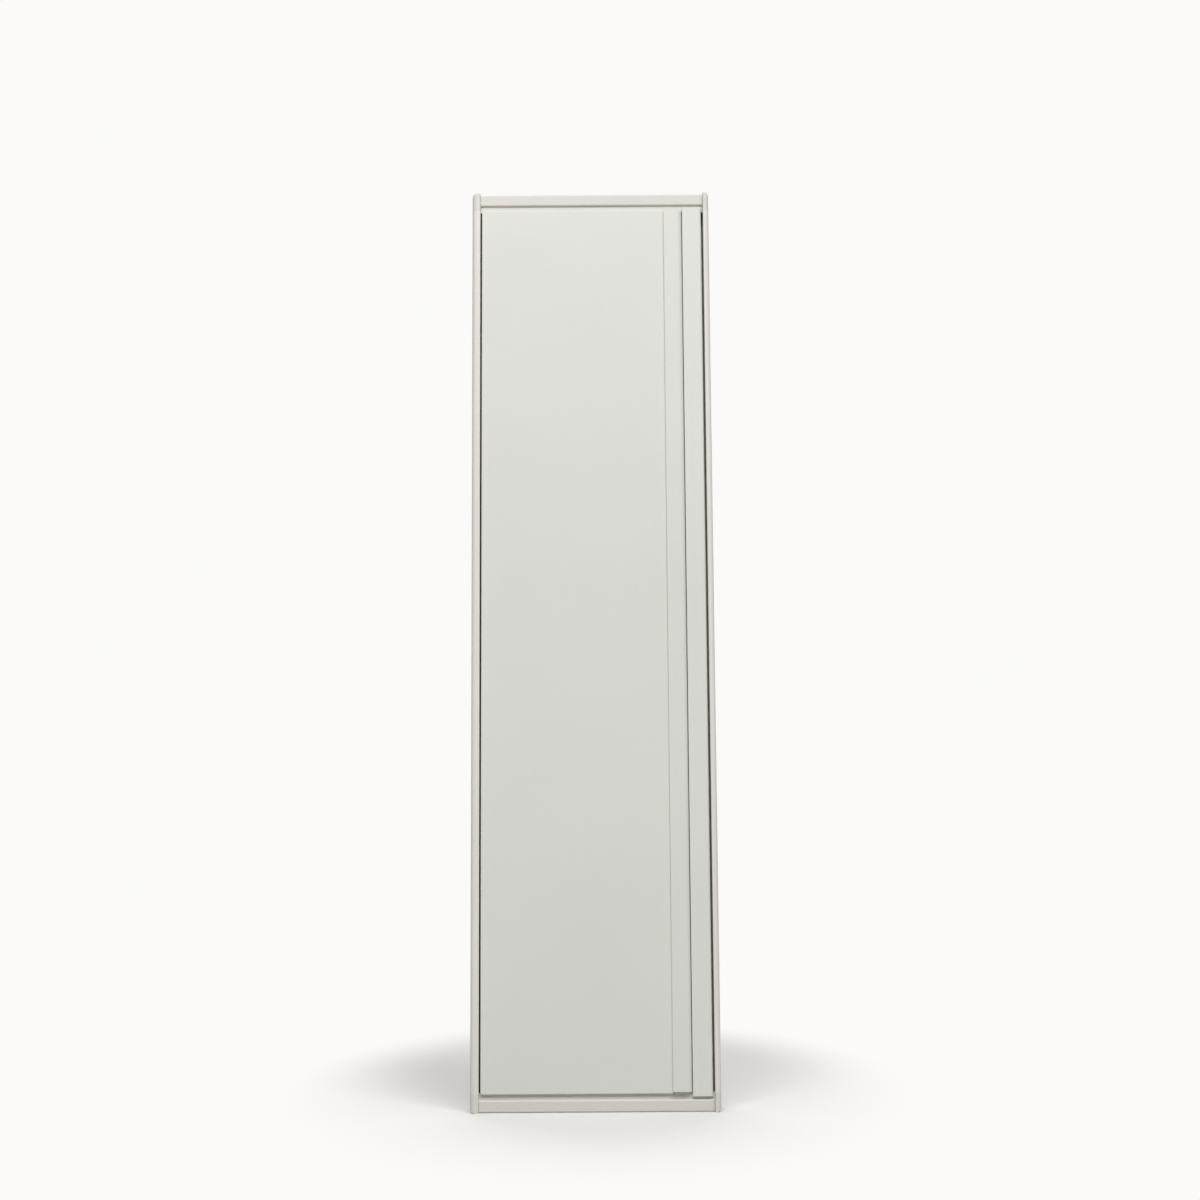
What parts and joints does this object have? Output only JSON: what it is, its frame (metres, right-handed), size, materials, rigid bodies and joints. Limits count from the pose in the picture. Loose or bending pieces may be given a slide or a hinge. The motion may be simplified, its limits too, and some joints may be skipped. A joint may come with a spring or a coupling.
{
  "type": "letterbox draught excluder",
  "caption": "Slim white metal letterbox draught excluder: a rectangular frame with a hinged cover flap over facing black brush seals, screwed to the inside of a door.",
  "frame": {"origin": "middle of the lower end face, on which it stands", "axes": "+Z along the length, -Y to the room side where the flap is, +Y to the door side, +X to the hinge side, which is the top when it is fitted to a door"},
  "size_m": [0.077, 0.022, 0.293],
  "materials": {
    "flap_coat": "satin white powder coat on aluminium",
    "frame_coat": "satin warm white powder coat on aluminium",
    "cap_plastic": "fine moulded off-white plastic",
    "rod_steel": "drawn stainless rod",
    "channel_steel": "folded galvanised strip",
    "wire_steel": "drawn wire",
    "bristle_nylon": "fine black nylon bristles",
    "seal_rubber": "black closed-cell sponge seal",
    "screw_steel": "zinc-plated countersunk screws"
  },
  "bodies": {
    "frame": {"upper_rail": "frame_coat", "lower_rail": "frame_coat", "hinge_rail": "flap_coat", "bottom_end_cap": "cap_plastic", "top_end_cap": "cap_plastic", "hinge_rod": "rod_steel", "upper_brush_channel": "channel_steel", "upper_brush_wire": "wire_steel", "upper_bristles": "bristle_nylon", "lower_brush_channel": "channel_steel", "lower_brush_wire": "wire_steel", "lower_bristles": "bristle_nylon", "bottom_end_seal": "seal_rubber", "top_end_seal": "seal_rubber", "lower_seal": "seal_rubber", "end_cap_screws": "screw_steel"},
    "flap": {"flap": "flap_coat"}
  },
  "joints": [
    {"name": "flap_hinge", "type": "hinge", "parent": "frame", "child": "flap", "pos_m": [0.02805, -0.00905, 0.1465], "axis": [0, 0, 1], "range_deg": [0, 95]}
  ]
}
